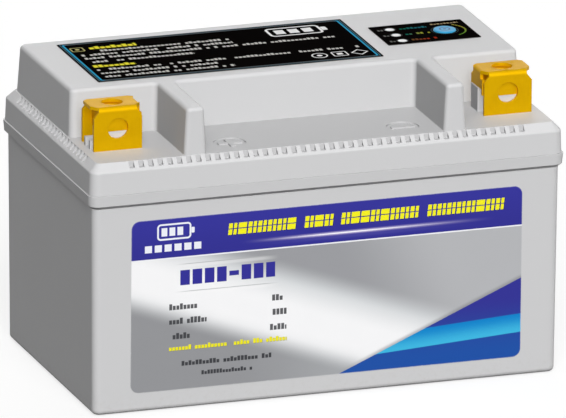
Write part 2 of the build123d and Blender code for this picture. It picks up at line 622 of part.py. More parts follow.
# ================================================================ main leads
LEAD_R, LEAD_BEND = 2.2, 5.9
LEAD_Y, LEAD_REAR_Y = -14.3, -2.3       # falling run, rising run
LEAD_LOW_Z, LEAD_START_Z = 48.0, 64.4
LUG_R, LUG_T = 4.0, 1.0
TANG_FRONT = TERM_REAR - SHEET_T
LUG_REAR = TERM_REAR + LUG_T


def lead(x, end_x, end_z):
    """From the lug down, back, up and inwards."""
    return tube([(x, LEAD_Y, LEAD_START_Z), (x, LEAD_Y, LEAD_LOW_Z),
                 (x, LEAD_REAR_Y, LEAD_LOW_Z), (x, LEAD_REAR_Y, end_z),
                 (end_x, LEAD_REAR_Y, end_z)], LEAD_BEND, LEAD_R)


put("negative_lead", lead(TERM_X, 38.5, 78.9))
put("positive_lead", lead(-TERM_X, -48.0, 73.05))

lug = box(TERM_X - LUG_R, TERM_X + LUG_R, TERM_REAR, LUG_REAR, 64.9, LUG_Z)
lug = lug + cyl_y(LUG_R, TERM_X, LUG_Z, TERM_REAR, LUG_REAR)
lug = lug + cyl(3.0, TERM_X, LEAD_Y, 58.0, 65.4) - cyl(2.25, TERM_X, LEAD_Y, 57.0, 64.5)
lug = lug - cyl_y(LUG_HOLE_R, TERM_X, LUG_Z, TERM_REAR - CUT, LUG_REAR + CUT)
put("ring_lugs", lug, mirror_x(lug))

screw = cyl_y(3.5, TERM_X, LUG_Z, TANG_FRONT - 2.4, TANG_FRONT)
screw = fillet(screw.edges().group_by(Axis.Y)[0], 0.8)
screw = screw - box(TERM_X - 2.2, TERM_X + 2.2, TANG_FRONT - 3, TANG_FRONT - 1.3,
                    LUG_Z - 0.4, LUG_Z + 0.4)
screw = screw + cyl_y(1.95, TERM_X, LUG_Z, TANG_FRONT - 0.2, TERM_REAR + 5.4)
put("lead_screws", screw, mirror_x(screw))

hexagon = Plane.XZ * Pos(TERM_X, LUG_Z) * RegularPolygon(3.5, 6, major_radius=False)
hex_nut = extrude(hexagon, amount=3.2)
hex_nut = Pos(0, LUG_REAR - hex_nut.bounding_box().min.Y, 0) * hex_nut
hex_nut = hex_nut - cyl_y(2.0, TERM_X, LUG_Z, TERM_REAR, TERM_REAR + 6)
put("lead_nuts", hex_nut, mirror_x(hex_nut))

# ================================================================ charge indicator
indicator = prism(31.0, 21.0, 1.0, IND_Z, IND_TOP, IND_X, IND_Y)
for (x, y) in IND_BOSSES:
    indicator = indicator - cyl(1.1, x, y, IND_Z - CUT, IND_TOP + CUT)
put("indicator_board", indicator)


def led(y):
    body = slab(LED_X, y, 3.5, 2.8, IND_TOP, IND_TOP + 1.9)
    return chamfer(body.edges().filter_by(Axis.Z), 0.3)


def light_pipe(y):
    """Pin through the window, with a flange under the lid."""
    pin = cyl(WINDOW_R - 0.07, LED_X, y, IND_TOP + 2.1, Z_TOP + LABEL_T - 0.02)
    pin = fillet(pin.edges().group_by(Axis.Z)[-1], 0.12)
    return pin + cyl(2.5, LED_X, y, Z_CEILING - 1.1, Z_CEILING - 0.02)


def indicator_screw(x, y):
    """Slotted head under the board, shank up into the boss."""
    screw = cyl(1.9, x, y, IND_Z - 1.4, IND_Z)
    screw = fillet(screw.edges().group_by(Axis.Z)[0], 0.5)
    screw = screw - slab(x, y, 2.4, 0.5, IND_Z - 2, IND_Z - 0.9)
    return screw + cyl(0.88, x, y, IND_Z - 0.2, IND_TOP + 4.2)


put("indicator_leds", *[led(y) for y in LED_ROWS])
put("light_pipes", *[light_pipe(y) for y in LED_ROWS])
put("indicator_screws", *[indicator_screw(x, y) for (x, y) in IND_BOSSES])

# flat cable from the management board up to the indicator board
CABLE_Y, CABLE_X, CABLE_T = (20.2, 24.6), 44.6, 1.0
cable_z = BMS_TOP + 0.15
cable = box(38.4, CABLE_X, *CABLE_Y, cable_z, cable_z + CABLE_T)
cable = cable + box(CABLE_X - CABLE_T, CABLE_X, *CABLE_Y, cable_z, IND_Z - 0.05)
bend_edge = cable.edges().filter_by(Axis.Y).group_by(Axis.Z)[0].sort_by(Axis.X)[-1]
put("indicator_cable", fillet(bend_edge, 1.4))

# ================================================================ test button
BUTTON_R, BUTTON_Z, BUTTON_TOP = 3.45, 89.0, 93.55

switch = slab(BUTTON_X, BUTTON_Y, 6, 6, IND_TOP, 88.1)
switch = chamfer(switch.edges().filter_by(Axis.Z), 0.4)
switch = switch - cyl(1.8, BUTTON_X, BUTTON_Y, 86.6, 89)
put("test_switch_body", switch)
put("test_switch_plunger", cyl(1.73, BUTTON_X, BUTTON_Y, 87.2, BUTTON_Z))

button = cyl(BUTTON_R, BUTTON_X, BUTTON_Y, BUTTON_Z, BUTTON_TOP)
button = fillet(button.edges().group_by(Axis.Z)[-1], 0.35)
button = button + cyl(4.7, BUTTON_X, BUTTON_Y, BUTTON_Z, BUTTON_Z + 1.4)
put("test_button", button)
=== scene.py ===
"""Looks, light and camera for an eight-cell battery pack in a moulded case.

The pack stands on z = 0 with its front towards -Y and its width along X. The pieces
come from the CAD frame, and each gets a procedural material. Scene lengths are metres,
but everything inside a material is in millimetres. Print is made of blocks and dashes.
"""
import bpy
import math
from mathutils import Matrix, Vector

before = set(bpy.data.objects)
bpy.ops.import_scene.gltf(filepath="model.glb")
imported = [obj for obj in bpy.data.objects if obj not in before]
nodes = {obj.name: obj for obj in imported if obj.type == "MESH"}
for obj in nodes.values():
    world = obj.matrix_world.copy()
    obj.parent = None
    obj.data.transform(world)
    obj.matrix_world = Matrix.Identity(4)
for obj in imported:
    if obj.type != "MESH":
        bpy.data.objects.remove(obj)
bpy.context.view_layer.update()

WHITE = (1, 1, 1, 1)
BUTTON_CENTRE = (55.4, 13.5)     # test button in the indicator label's (x, y)
LED_X = 40.45
LED_YS = (19.0, 13.0, 7.0)
CELL_PITCH = 26.8


# ------------------------------------------------------------------ colours
def linear(level):
    level = level / 255.0
    return level / 12.92 if level <= 0.04045 else ((level + 0.055) / 1.055) ** 2.4


def rgb(red, green, blue):
    """A linear colour from sRGB levels of 0 to 255."""
    return (linear(red), linear(green), linear(blue), 1.0)


def paler(colour, level, share):
    """The colour with a share of plain grey mixed in."""
    return tuple(colour[i] * (1 - share) + level * share for i in range(3)) + (1.0,)


# ------------------------------------------------------------------ shader graph helpers
def add_node(tree, kind, inputs=None, **settings):
    """Adds a node; inputs maps a socket's index or name to a value or a source."""
    node = tree.nodes.new("ShaderNode" + kind)
    for name, setting in settings.items():
        setattr(node, name, setting)
    for key, source in (inputs or {}).items():
        if isinstance(source, Value):
            source = source.socket
        if isinstance(source, bpy.types.NodeSocket):
            tree.links.new(source, node.inputs[key])
        else:
            node.inputs[key].default_value = source
    return node


def add_shader(tree, kind, *inputs):
    return add_node(tree, kind, dict(enumerate(inputs))).outputs[0]


def operator(kind, flipped=False):
    def apply(value, other):
        pair = (other, value) if flipped else (value, other)
        return value.graph.math(kind, *pair)
    return apply


class Value:
    """A number in a shader graph; arithmetic on it adds math nodes."""

    def __init__(self, graph, socket):
        self.graph = graph
        self.socket = socket

    __add__ = operator("ADD")
    __radd__ = operator("ADD", flipped=True)
    __sub__ = operator("SUBTRACT")
    __rsub__ = operator("SUBTRACT", flipped=True)
    __mul__ = operator("MULTIPLY")
    __rmul__ = operator("MULTIPLY", flipped=True)
    __truediv__ = operator("DIVIDE")
    __gt__ = operator("GREATER_THAN")
    __lt__ = operator("LESS_THAN")

    def __abs__(self):
        return self.graph.math("ABSOLUTE", self)

    def vary(self, amount):
        """A 0 to 1 value centred on 0, with a full swing of amount."""
        return (self - 0.5) * amount

    def ramp(self, start, end):
        """Smooth step from 0 at start to 1 at end; it falls if start is above end."""
        inputs = {"Value": self, "From Min": start, "From Max": end}
        if start > end:
            inputs.update({"From Min": end, "From Max": start, "To Min": 1.0, "To Max": 0.0})
        return self.graph.value("MapRange", 0, inputs, interpolation_type="SMOOTHSTEP")


class Graph:
    """A material's node graph. Its colour is built up by paint and dim."""

    def __init__(self, name):
        self.material = bpy.data.materials.new(name)
        self.material.use_nodes = True
        self.tree = self.material.node_tree
        self.tree.nodes.clear()
        self.shader = add_node(self.tree, "BsdfPrincipled")
        add_node(self.tree, "OutputMaterial", {0: self.shader.outputs[0]})
        place = self.add("TexCoord").outputs["Object"]
        scaled = self.add("VectorMath", {0: place, "Scale": 1000.0}, operation="SCALE")
        self.position = scaled.outputs[0]
        self.colour = None

    def add(self, kind, inputs=None, **settings):
        return add_node(self.tree, kind, inputs, **settings)

    def value(self, kind, output, inputs=None, **settings):
        return Value(self, self.add(kind, inputs, **settings).outputs[output])

    def math(self, kind, *inputs):
        return self.value("Math", 0, dict(enumerate(inputs)), operation=kind)

    def min(self, first, *others):
        for other in others:
            first = self.math("MINIMUM", first, other)
        return first

    def max(self, first, *others):
        for other in others:
            first = self.math("MAXIMUM", first, other)
        return first

    def hypot(self, across, up):
        return self.math("SQRT", across * across + up * up)

    def xyz(self):
        split = self.add("SeparateXYZ", {0: self.position})
        return [Value(self, socket) for socket in split.outputs]

    def noise(self, size, detail=3.0, rough=0.5, stretch=None, warp=0.0):
        """Noise from 0 to 1 whose lumps are about size across."""
        place = self.position
        if stretch is not None:
            place = self.add("Mapping", {"Scale": stretch, "Vector": place}).outputs[0]
        return self.value("TexNoise", "Fac", {
            "Scale": 1.0 / size, "Detail": detail, "Roughness": rough,
            "Distortion": warp, "Vector": place})

    def grain(self, size):
        return self.noise(size, detail=2.0, rough=0.6)

    def random(self, across, up):
        """A random number from 0 to 1 for each pair of inputs."""
        pair = self.add("CombineXYZ", {0: across, 1: up}).outputs[0]
        return self.value("TexWhiteNoise", "Value", {"Vector": pair}, noise_dimensions="2D")

    def mix(self, first, second, amount):
        """The first colour, turning to the second as amount goes from 0 to 1."""
        return self.add("Mix", {"Factor": amount, 6: first, 7: second},
                        data_type="RGBA", clamp_factor=True).outputs[2]

    def paint(self, colour, amount):
        self.colour = self.mix(self.colour, colour, amount)

    def dim(self, factor):
        colour = self.colour[:3] if isinstance(self.colour, tuple) else self.colour
        node = self.add("VectorMath", {0: colour, "Scale": factor}, operation="SCALE")
        self.colour = node.outputs[0]

    def bevel(self, radius):
        return self.add("Bevel", {"Radius": radius / 1000.0}, samples=4).outputs[0]

    def edge(self, radius):
        """0 on flat faces, up to 1 at edges and corners."""
        flat = self.add("NewGeometry").outputs["True Normal"]
        return 1.0 - self.value("VectorMath", "Value", {0: self.bevel(radius), 1: flat},
                                operation="DOT_PRODUCT")

    def bump(self, height, strength, depth, bevel=None):
        inputs = {"Strength": strength, "Distance": depth / 1000.0, "Height": height}
        if bevel is not None:
            inputs["Normal"] = self.bevel(bevel)
        node = self.add("Bump", inputs)
        self.tree.links.new(node.outputs[0], self.shader.inputs["Normal"])

    def surface(self, **settings):
        """Hands the colour and the named settings to the shader."""
        names = {"colour": "Base Color", "rough": "Roughness", "metal": "Metallic",
                 "spec": "Specular IOR Level", "coat": "Coat Weight",
                 "coat_rough": "Coat Roughness", "sheen": "Sheen Weight",
                 "tint": "Specular Tint"}
        for key, source in dict(settings, colour=self.colour).items():
            socket = self.shader.inputs[names[key]]
            if isinstance(source, Value):
                source = source.socket
            if isinstance(source, bpy.types.NodeSocket):
                self.tree.links.new(source, socket)
            else:
                socket.default_value = source


class Art:
    """Shapes drawn as 0 to 1 masks on a plane. Boxes are x0, x1, y0, y1."""

    FILL_SOFT = 0.06     # half width of a filled shape's blurred rim
    LINE_SOFT = 0.05     # the same for lines and dashes

    def __init__(self, graph, x, y):
        self.graph = graph
        self.x = x
        self.y = y

    def beyond(self, x0, x1, y0, y1, inset=0.0):
        """How far a point lies past the box's sides, along x and along y."""
        return (abs(self.x - (x0 + x1) / 2) - ((x1 - x0) / 2 - inset),
                abs(self.y - (y0 + y1) / 2) - ((y1 - y0) / 2 - inset))

    def rect(self, *box):
        return self.graph.max(*self.beyond(*box)).ramp(self.FILL_SOFT, -self.FILL_SOFT)

    def rounded_distance(self, *box, radius):
        """Distance from a rounded box's rim, negative inside."""
        g = self.graph
        over_x, over_y = self.beyond(*box, inset=radius)
        corner = g.hypot(g.max(over_x, 0.0), g.max(over_y, 0.0))
        return corner + g.min(g.max(over_x, over_y), 0.0) - radius

    def rounded(self, *box, radius):
        distance = self.rounded_distance(*box, radius=radius)
        return distance.ramp(self.FILL_SOFT, -self.FILL_SOFT)

    def outline(self, *box, radius, width):
        off_line = abs(self.rounded_distance(*box, radius=radius)) - width / 2
        return off_line.ramp(self.LINE_SOFT, -self.LINE_SOFT)

    def distance(self, x, y):
        return self.graph.hypot(self.x - x, self.y - y)

    def disc(self, x, y, radius):
        return (self.distance(x, y) - radius).ramp(self.FILL_SOFT, -self.FILL_SOFT)

    def ring(self, x, y, radius, width):
        off_line = abs(self.distance(x, y) - radius) - width / 2
        return off_line.ramp(self.LINE_SOFT, -self.LINE_SOFT)

    def words(self, x0, x1, y0, y1, pitch, seed, space=0.17, duty=0.8):
        """A row of dashes in word-like groups.

        space is the share of cells left blank, duty the share of a cell its dash fills.
        """
        g = self.graph
        soft = self.LINE_SOFT
        along = (self.x - x0) / pitch
        cell = g.math("FLOOR", along)
        shown = g.random(cell, float(seed)) > space
        low_dash = g.random(cell, float(seed) + 40.5) < 0.6
        dash = abs(along - cell - 0.5).ramp(duty / 2 + soft / pitch, duty / 2 - soft / pitch)
        top = y1 - (y1 - y0) * 0.3 * low_dash
        body = g.min(self.y.ramp(y0 - soft, y0 + soft), (top - self.y).ramp(-soft, soft))
        return shown * dash * body * g.min(self.x > x0, self.x < x1)


# ------------------------------------------------------------------ case
def case_plastic():
    g = Graph("case_plastic")
    z = g.xyz()[2]
    broad = g.noise(38.0, rough=0.55)
    mottle = g.noise(4.5, detail=4.0, rough=0.6)
    flow = g.noise(26.0, detail=2.0, stretch=(0.35, 1.0, 1.8), warp=0.6)
    g.colour = rgb(205, 205, 206)
    g.dim(0.985 + broad.vary(0.028) + mottle.vary(0.012) + flow.vary(0.014))
    # handling wear: edges rub a little paler and smoother
    wear = g.edge(0.35).ramp(0.03, 0.22) * g.noise(2.2, detail=5.0, rough=0.62).ramp(0.42, 0.62)
    g.paint(rgb(226, 226, 226), wear * 0.35)
    # faint dust near the foot
    dust = z.ramp(9.0, 0.5) * g.noise(1.6, detail=5.0, rough=0.65).ramp(0.45, 0.7)
    g.paint(rgb(176, 172, 164), dust * 0.16)
    hairlines = g.noise(0.9, detail=2.0, rough=0.6, stretch=(0.10, 0.7, 2.4))
    scuff = hairlines.ramp(0.70, 0.80) * g.noise(11.0, detail=2.0).ramp(0.5, 0.75)
    grain = g.noise(0.34, detail=2.0, rough=0.65)
    # light already bounced off the case is held back, which keeps the shaded sides crisp
    g.dim(1.0 - g.value("LightPath", "Is Diffuse Ray") * 0.88)
    g.surface(rough=0.50 + mottle.vary(0.10) + scuff * 0.08 - wear * 0.10 + grain.vary(0.06),
              spec=0.26)
    g.bump(grain * 0.7 + mottle * 0.12 - scuff * 0.35, strength=0.30, depth=0.016, bevel=0.12)
    return g.material


# ------------------------------------------------------------------ labels
def film_bump(g, fine):
    g.bump(fine * 0.3 + g.noise(3.5, detail=2.0) * 0.7, strength=0.25, depth=0.012)


def header_blocks(g, x, z, shift_x, shift_z):
    """Four groups of leaning blocks, shifted bodily to make their shadow."""
    groups = []
    for left, right in ((-31.2, -10.0), (-7.1, 1.8), (4.4, 28.8), (31.7, 55.9)):
        count = max(1, round((right - left + 0.5) / 3.1))
        pitch = (right - left + 0.5) / count
        lean_x = x - shift_x - (z - 54.9) * 0.10
        along = g.math("FRACT", (lean_x - left) / pitch)
        mask = (along.ramp(1.0 - 0.42 / pitch, 1.0 - 0.52 / pitch)
                * Art(g, lean_x, z - shift_z).rect(left, right, 53.05, 56.65))
        cell = g.math("FLOOR", (lean_x - left) / pitch)
        # some blocks are split in two, and one thin line runs through the whole row
        chance = g.random(cell, 7.0 + left)
        split = Art(g, along * pitch, z - shift_z).rect(
            pitch * 0.40, pitch * 0.40 + 0.42, 53.0, 56.7) * (chance < 0.55)
        line = Art(g, lean_x, z - shift_z).rect(left, right, 54.78, 55.06)
        groups.append(mask * (1.0 - split) * (1.0 - line))
    return g.max(*groups)


def header_band(g, art, x, z):
    """Colour of the blue band along the top of the front label."""
    g.colour = g.mix(rgb(45, 43, 143), rgb(52, 51, 158), z.ramp(47.5, 60.0) * 0.6)
    # a thin glint that fades towards both ends
    glint = x.ramp(-28.0, 4.0) * x.ramp(54.0, 8.0)
    off_line = abs(z - 50.45 - (x - 8.0) * 0.0015)
    g.paint(rgb(206, 194, 234), off_line.ramp(0.85, 0.0) * glint * 0.9)
    g.paint(rgb(255, 255, 255), off_line.ramp(0.28, 0.05) * glint * glint)
    g.paint(rgb(120, 116, 196),
            off_line.ramp(2.2, 0.2) * (z - 50.4).ramp(0.0, -1.6) * glint * 0.45)
    g.paint(rgb(22, 18, 92), header_blocks(g, x, z, shift_x=0.22, shift_z=-0.22) * 0.85)
    g.paint(rgb(248, 243, 30), header_blocks(g, x, z, shift_x=0.0, shift_z=0.0))
    # cell pictogram over a row of blocks, upper left
    bars = [art.rect(left, right, 54.5, 57.1)
            for left, right in ((-52.3, -50.5), (-49.8, -48.0), (-47.3, -45.5))]
    row = (g.math("FRACT", (x + 57.5) / 3.1).ramp(0.74, 0.70)
           * art.rect(-57.5, -39.2, 49.7, 51.9))
    g.paint(rgb(240, 242, 250), g.max(
        art.outline(-53.4, -43.2, 53.5, 58.1, radius=0.9, width=0.55),
        art.rounded(-42.9, -41.9, 54.9, 56.7, radius=0.3), *bars, row))
    return g.colour


def silver_field(g, x, z):
    """Silver ground crossed by one straight, soft band of light."""
    band = z + x * 0.36
    lower = g.mix(rgb(148, 149, 152), rgb(166, 168, 171), x.ramp(-30.0, 10.0))
    upper = g.mix(rgb(156, 157, 161), rgb(182, 183, 186), (x + z * 0.5).ramp(24.0, 60.0))
    light = g.mix(rgb(214, 217, 219), rgb(249, 249, 250), abs(band - 21.0).ramp(14.0, 3.0))
    g.colour = g.mix(lower, light, band.ramp(8.0, 15.5))
    g.paint(upper, band.ramp(31.0, 39.0))


def blue_corner(g, x, z):
    """Blue below a rising edge, with one straight lighter stripe."""
    def stripe_height():
        return z - x * 0.06 + 1.2

    edge = (x - 4.0) * 0.432 + 6.1
    corner = g.mix(rgb(46, 46, 146), rgb(22, 78, 164), z.ramp(26.0, 8.0))
    stripe = g.mix(rgb(60, 184, 226), rgb(0, 132, 204), stripe_height().ramp(11.5, 17.0))
    corner = g.mix(corner, stripe, stripe_height().ramp(11.2, 11.6)
                   * stripe_height().ramp(17.4, 17.0))
    g.paint(rgb(122, 124, 130), (z - edge).ramp(1.6, 0.0) * x.ramp(2.0, 18.0) * 0.6)
    g.paint(corner, (z - edge).ramp(0.10, -0.10))


def field_print(g, art, x, z):
    ink = rgb(46, 47, 52)
    figures = (g.math("FRACT", (x + 46.3) / 3.86).ramp(0.80, 0.77)
               * art.rect(-46.3, -16.4, 38.7, 43.4))
    for low, high in ((41.8, 44.0), (38.0, 40.3)):      # notches in the large blocks
        figures = figures * (1.0 - art.rect(-30.9, -27.2, low, high))
    g.paint(rgb(47, 44, 148), figures)
    # a rule above and below the large blocks, each with a pale underside
    for rule_z in (45.3, 36.7):
        fade = x.ramp(-48.5, -42.0) * x.ramp(-14.5, -21.0)
        g.paint(rgb(150, 152, 155), abs(z - rule_z).ramp(0.18, 0.08) * fade * 0.8)
        g.paint(rgb(252, 252, 252), abs(z - rule_z + 0.5).ramp(0.9, 0.2) * fade * 0.35)
    # centre height, right end of the left words, left end of the right words
    rows = ((32.1, -40.9, -17.4), (27.6, -37.9, -17.2), (22.9, -43.2, -18.0))
    for i, (row_z, end, start) in enumerate(rows):
        low, high = row_z - 0.95, row_z + 0.95
        g.paint(ink, art.words(-49.8, end, low, high, pitch=1.12, seed=3 + i, space=0.06) * 0.92)
        g.paint(ink, art.words(start, -12.7, low, high,
                               pitch=1.18, seed=11 + i, space=0.04) * 0.92)
    yellow_row = {"pitch": 1.02, "seed": 21, "space": 0.14}
    shadow = Art(g, x - 0.12, z + 0.14)
    g.paint(rgb(110, 108, 60), shadow.words(-50.8, -12.6, 18.4, 19.9, **yellow_row) * 0.7)
    g.paint(rgb(240, 232, 30), art.words(-50.8, -12.6, 18.4, 19.9, **yellow_row))
    g.paint(ink, art.words(-45.8, -17.4, 13.4, 14.9, pitch=1.10, seed=31, space=0.12) * 0.95)
    g.paint(ink, art.words(-39.5, -23.4, 10.1, 11.4, pitch=0.95, seed=37, space=0.05) * 0.95)


def front_label():
    g = Graph("label_front_print")
    x, y, z = g.xyz()
    art = Art(g, x, z)
    header = header_band(g, art, x, z)
    silver_field(g, x, z)
    blue_corner(g, x, z)
    field_print(g, art, x, z)
    g.paint(rgb(244, 244, 248), art.rect(-70, 70, 47.28, 47.9))
    g.paint(header, z.ramp(47.66, 47.74))
    # printed film: a paler cut edge with tiny nicks, and a faint rub
    rim = art.rounded_distance(-61.7, 61.7, 6.1, 59.9, radius=2.6)
    nick = g.noise(0.8, detail=4.0, rough=0.6).ramp(0.55, 0.75)
    g.paint(rgb(225, 226, 230), rim.ramp(-0.22, -0.05) * (0.25 + nick * 0.4))
    g.dim(0.985 + g.noise(9.0, detail=4.0, rough=0.6).vary(0.03))
    fine = g.grain(0.25)
    rub = g.noise(6.0, rough=0.6, stretch=(0.3, 1, 1)).ramp(0.60, 0.8)
    g.surface(rough=0.36 + fine.vary(0.08) + rub * 0.10, spec=0.32, coat=0.10, coat_rough=0.25)
    film_bump(g, fine)
    return g.material


def start_black_film(g, lump):
    g.colour = g.mix(rgb(7, 6, 6), rgb(13, 11, 10), g.noise(lump))


def finish_black_film(g, art, *box):
    rim = art.rounded_distance(*box, radius=0.4)
    g.paint(rgb(90, 88, 86), rim.ramp(-0.16, -0.04) * 0.6)
    fine = g.grain(0.25)
    g.surface(rough=0.50 + fine.vary(0.1), spec=0.0)
    film_bump(g, fine)


def top_label():
    g = Graph("label_top_print")
    x, y, z = g.xyz()
    art = Art(g, x, y)
    left, right, low, high = -60.5, 29.8, -6.6, 34.0
    start_black_film(g, lump=12.0)
    # double frame line, bluer and brighter towards the ends
    side = (abs(x + 15.35) - 15.5).ramp(26.5, 28.2)
    line = g.mix(rgb(110, 118, 122), rgb(46, 150, 190), side)
    g.paint(line, art.outline(left + 1.5, right - 1.5, low + 1.35, high - 1.35,
                              radius=0.5, width=0.62) * (0.55 + 0.45 * side))
    g.paint(rgb(150, 196, 214), art.outline(left + 0.75, right - 0.75, low + 0.65, high - 0.65,
                                            radius=0.4, width=0.16) * 0.5)
    yellow, dull_yellow = rgb(226, 218, 60), rgb(190, 184, 120)
    g.paint(yellow, art.words(-52.4, -37.4, 26.4, 29.0, pitch=1.75, seed=51, space=0.0, duty=0.82))
    g.paint(yellow, art.words(-57.1, -43.7, 7.9, 10.3, pitch=1.65, seed=52, space=0.0, duty=0.82))
    g.paint(dull_yellow, art.outline(-58.0, -54.2, 25.4, 29.0, radius=0.4, width=0.38) * 0.9)
    g.paint(dull_yellow, art.disc(-56.1, 27.2, radius=0.7) * 0.9)
    # rows of words: x0, x1, y0, y1
    rows = ((-52.5, -8.5, 23.4, 25.2), (-56.9, -9.0, 20.0, 21.8), (-57.0, 22.3, 16.6, 18.4),
            (-57.2, -23.6, 12.7, 14.5), (-57.2, 25.9, 4.5, 6.3), (-57.1, -19.0, 0.9, 2.7),
            (-57.0, -15.8, -2.8, -1.0))
    for i, row in enumerate(rows):
        g.paint(rgb(206, 204, 200), art.words(*row, pitch=1.28, seed=60 + i, duty=0.74) * 0.92)
    # cell pictogram
    pictogram = g.max(art.outline(4.4, 20.6, 22.6, 30.2, radius=1.4, width=0.8),
                      art.rounded(21.1, 22.8, 24.7, 28.1, radius=0.5),
                      *[art.rect(6.3 + 4.4 * k, 9.4 + 4.4 * k, 24.4, 28.4) for k in range(3)])
    # three plain symbols: ringed dot, framed square and diamond
    diamond = (abs(x - 24.2) + abs(y + 0.4)) * 0.7071
    symbols = g.max(art.ring(11.5, -0.4, radius=2.3, width=0.42),
                    art.disc(11.5, -0.4, radius=0.85),
                    art.outline(15.7, 20.1, -2.5, 1.7, radius=0.5, width=0.42),
                    art.rect(17.0, 18.8, -1.3, 0.5),
                    (abs(diamond - 1.75) - 0.21).ramp(0.05, -0.05))
    g.paint(rgb(232, 232, 232), g.max(pictogram, symbols))
    finish_black_film(g, art, left, right, low, high)
    return g.material


def indicator_label():
    g = Graph("label_indicator_print")
    x, y, z = g.xyz()
    x = x - 0.7
    art = Art(g, x, y)
    start_black_film(g, lump=8.0)
    # centre height, left colour, right colour, right end, height of the ring
    rows = ((18.7, rgb(26, 92, 74), rgb(34, 100, 112), 51.2, 18.7 + 0.3),
            (12.9, rgb(24, 96, 84), rgb(150, 150, 48), 50.4, 12.9 + 0.1),
            (6.9, rgb(96, 66, 40), rgb(150, 44, 26), 50.8, 6.9 + 0.1))
    for i, (row_y, start, end, right, ring_y) in enumerate(rows):
        ink = g.mix(start, end, x.ramp(43.0, 49.0))
        g.paint(ink, art.words(42.5, right, row_y - 0.8, row_y + 0.8,
                               pitch=1.18, seed=80 + i, space=0.08, duty=0.74))
        g.paint(rgb(104, 104, 102), art.words(35.6, 37.6, row_y - 0.7, row_y + 0.7, pitch=1.0,
                                              seed=90 + i, space=0.0, duty=0.7) * 0.9)
        g.paint(rgb(120, 120, 120), art.ring(39.75, ring_y, radius=1.85, width=0.18) * 0.25)
    g.paint(rgb(170, 150, 112), art.words(53.0, 61.8, 19.8, 20.9, pitch=1.05, seed=95,
                                          space=0.05, duty=0.74) * 0.8)
    # graded, broken arc round the button
    centre_x, centre_y = BUTTON_CENTRE
    angle = g.math("ARCTAN2", y - centre_y, x - centre_x)
    arc = (abs(art.distance(*BUTTON_CENTRE) - 6.35).ramp(0.30, 0.20)
           * abs(angle + 0.12).ramp(1.05, 1.0))
    arc = arc * g.math("FRACT", angle * 5.2).ramp(0.86, 0.82)
    g.paint(g.mix(rgb(96, 140, 52), rgb(160, 152, 60), angle.ramp(-0.8, 0.6)), arc)
    g.paint(rgb(110, 130, 130), art.ring(*BUTTON_CENTRE, radius=4.1, width=0.22) * 0.3)
    finish_black_film(g, art, 34.1, 63.7, 3.5, 23.1)
    return g.material


def test_button():
    g = Graph("button_blue_plastic")
    x, y, z = g.xyz()
    art = Art(g, x - 0.7, y)
    g.colour = g.mix(rgb(36, 146, 196), rgb(50, 162, 210), g.noise(3.0))
    top = z.ramp(93.2, 93.4)
    g.paint(rgb(24, 66, 116), art.ring(*BUTTON_CENTRE, radius=1.5, width=0.44) * top)
    g.paint(rgb(24, 66, 116), art.disc(*BUTTON_CENTRE, radius=0.55) * top)
    wear = g.edge(0.25).ramp(0.05, 0.3) * g.noise(0.9, detail=4.0, rough=0.6).ramp(0.4, 0.65)
    g.paint(rgb(120, 190, 222), wear * 0.4)
    grain = g.grain(0.22)
    g.surface(rough=0.42 + grain.vary(0.12), spec=0.20)
    g.bump(grain, strength=0.25, depth=0.012, bevel=0.15)
    return g.material


# ------------------------------------------------------------------ metals
def metal(name, base, tarnish, edge_colour, rough, size, brush=(0.12, 1.0, 1.0),
          strength=0.24, **extra):
    g = Graph(name)
    patches = g.noise(5.5, detail=5.0, rough=0.6)
    fine = g.noise(size, rough=0.6, stretch=brush)
    g.colour = g.mix(base, tarnish, patches.ramp(0.38, 0.68))
    wear = g.edge(0.25).ramp(0.04, 0.30) * g.noise(1.2, detail=4.0, rough=0.6).ramp(0.35, 0.6)
    g.paint(edge_colour, wear * 0.6)
    g.dim(0.97 + fine.vary(0.10))
    g.surface(**{"metal": 1.0, **extra},
              rough=rough + fine.vary(0.16) + patches.vary(0.10) - wear * 0.06)
    g.bump(fine * 0.6 + g.noise(1.6) * 0.25, strength=strength, depth=0.02, bevel=0.12)
    return g.material


# settings shared by the brass parts: part metal, with a yellow sheen
BRASS = {"metal": 0.30, "tint": (1.0, 0.72, 0.03, 1), "spec": 0.35}


# ------------------------------------------------------------------ plastics and soft parts
def plastic(name, first, second, rough, grain, strength=0.25):
    """Moulded plastic or rubber, blotched between two colours."""
    g = Graph(name)
    fine = g.grain(grain)
    g.colour = g.mix(first, second, g.noise(6.0, detail=4.0, rough=0.6).ramp(0.3, 0.7))
    wear = g.edge(0.2).ramp(0.05, 0.3) * g.noise(1.5, detail=4.0, rough=0.6).ramp(0.4, 0.62)
    g.paint(paler(second, level=0.9, share=0.3), wear * 0.5)
    g.surface(rough=rough + fine.vary(0.15), spec=0.4)
    g.bump(fine, strength=strength, depth=0.02, bevel=0.12)
    return g.material


def foam():
    g = Graph("packing_foam")
    pore = g.value("TexVoronoi", "Distance", {"Scale": 1.6, "Vector": g.position})
    g.colour = g.mix(rgb(30, 30, 31), rgb(58, 58, 60), pore.ramp(0.1, 0.6))
    g.dim(0.9 + g.noise(7.0).vary(0.3))
    g.surface(rough=0.92, spec=0.15, sheen=0.3)
    g.bump(pore.ramp(0.0, 0.5), strength=0.8, depth=0.12)
    return g.material


